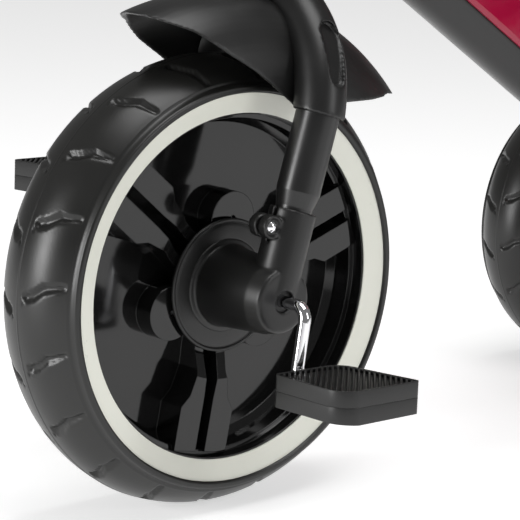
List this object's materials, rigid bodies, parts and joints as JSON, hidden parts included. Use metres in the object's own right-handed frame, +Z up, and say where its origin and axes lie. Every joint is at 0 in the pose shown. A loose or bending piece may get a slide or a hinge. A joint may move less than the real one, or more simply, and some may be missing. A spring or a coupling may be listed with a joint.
{
  "type": "children's tricycle",
  "caption": "Children's tricycle with a directly pedalled front wheel in a raked fork, a moulded fender, a sloping beam frame, a padded seat and free rear wheels.",
  "frame": {"origin": "on the ground, under the middle of the tricycle's length and width", "axes": "+Z up, -Y forward, +X to the rider's left"},
  "size_m": [0.4042, 0.815, 0.6224],
  "materials": {
    "tyre_rubber": "satin foam rubber",
    "gloss_black": "gloss",
    "trim_cream": "semi-gloss",
    "charcoal_plastic": "fine satin grain",
    "charcoal_paint": "satin powder coat",
    "chrome": "polished",
    "zinc_steel": "zinc plated",
    "nylon": "matt",
    "crimson": "gloss",
    "seat_fabric": "woven",
    "grip_rubber": "matt"
  },
  "bodies": {
    "frame": {"main_beam": "charcoal_paint", "head_tube": "charcoal_paint", "headset_bushes": "nylon", "body_cover": "crimson", "rear_axle_tube": "charcoal_paint", "rear_axle_rod": "zinc_steel", "axle_spacers": "zinc_steel", "axle_nuts": "zinc_steel", "seat_post": "charcoal_paint", "seat_plate": "charcoal_paint", "seat_shell": "crimson", "seat_cushion": "seat_fabric", "back_cushion": "seat_fabric", "seat_bolts": "zinc_steel"},
    "fork": {"fork_yoke": "charcoal_plastic", "front_fender": "charcoal_plastic", "steerer_tube": "zinc_steel", "fork_leg_left": "charcoal_paint", "fork_leg_right": "charcoal_paint", "hub_housing_left": "charcoal_plastic", "hub_housing_right": "charcoal_plastic", "dust_covers": "charcoal_plastic", "crank_bushes": "nylon", "clamp_bolts": "chrome", "clamp_nuts": "zinc_steel", "yoke_screws": "zinc_steel", "headset_rings": "zinc_steel", "handlebar_stem": "charcoal_paint", "stem_bolts": "zinc_steel", "handlebar": "charcoal_paint", "grip_left": "grip_rubber", "grip_right": "grip_rubber"},
    "front_wheel": {"front_tyre": "tyre_rubber", "front_disc_left": "gloss_black", "front_disc_right": "gloss_black", "front_ring_left": "trim_cream", "front_ring_right": "trim_cream", "front_wheel_screws": "zinc_steel", "crankshaft": "chrome", "drive_plate": "zinc_steel", "pedal_collars": "zinc_steel"},
    "pedal_left": {"pedal_left_upper": "charcoal_plastic", "pedal_left_lower": "charcoal_plastic", "pedal_left_screws": "zinc_steel"},
    "pedal_right": {"pedal_right_upper": "charcoal_plastic", "pedal_right_lower": "charcoal_plastic", "pedal_right_screws": "zinc_steel"},
    "rear_wheel_left": {"rear_tyre_left": "tyre_rubber", "rear_discs_left": "gloss_black", "rear_rings_left": "trim_cream", "rear_bushes_left": "nylon", "rear_wheel_screws_left": "zinc_steel", "hub_cap_left": "charcoal_plastic"},
    "rear_wheel_right": {"rear_tyre_right": "tyre_rubber", "rear_discs_right": "gloss_black", "rear_rings_right": "trim_cream", "rear_bushes_right": "nylon", "rear_wheel_screws_right": "zinc_steel", "hub_cap_right": "charcoal_plastic"}
  },
  "joints": [
    {"name": "steering", "type": "hinge", "parent": "frame", "child": "fork", "pos_m": [0, -0.2575, 0.15], "axis": [0, 0.2756, 0.9613], "range_deg": [-45, 45]},
    {"name": "front_wheel_spin", "type": "hinge", "parent": "fork", "child": "front_wheel", "pos_m": [0, -0.2575, 0.15], "axis": [1, 0, 0], "continuous": true},
    {"name": "pedal_left_spin", "type": "hinge", "parent": "front_wheel", "child": "pedal_left", "pos_m": [0.145, -0.2639, 0.10445], "axis": [1, 0, 0], "continuous": true},
    {"name": "pedal_right_spin", "type": "hinge", "parent": "front_wheel", "child": "pedal_right", "pos_m": [-0.145, -0.2511, 0.19555], "axis": [1, 0, 0], "continuous": true},
    {"name": "rear_wheel_left_spin", "type": "hinge", "parent": "frame", "child": "rear_wheel_left", "pos_m": [0.15, 0.2925, 0.115], "axis": [1, 0, 0], "continuous": true},
    {"name": "rear_wheel_right_spin", "type": "hinge", "parent": "frame", "child": "rear_wheel_right", "pos_m": [-0.15, 0.2925, 0.115], "axis": [1, 0, 0], "continuous": true}
  ]
}
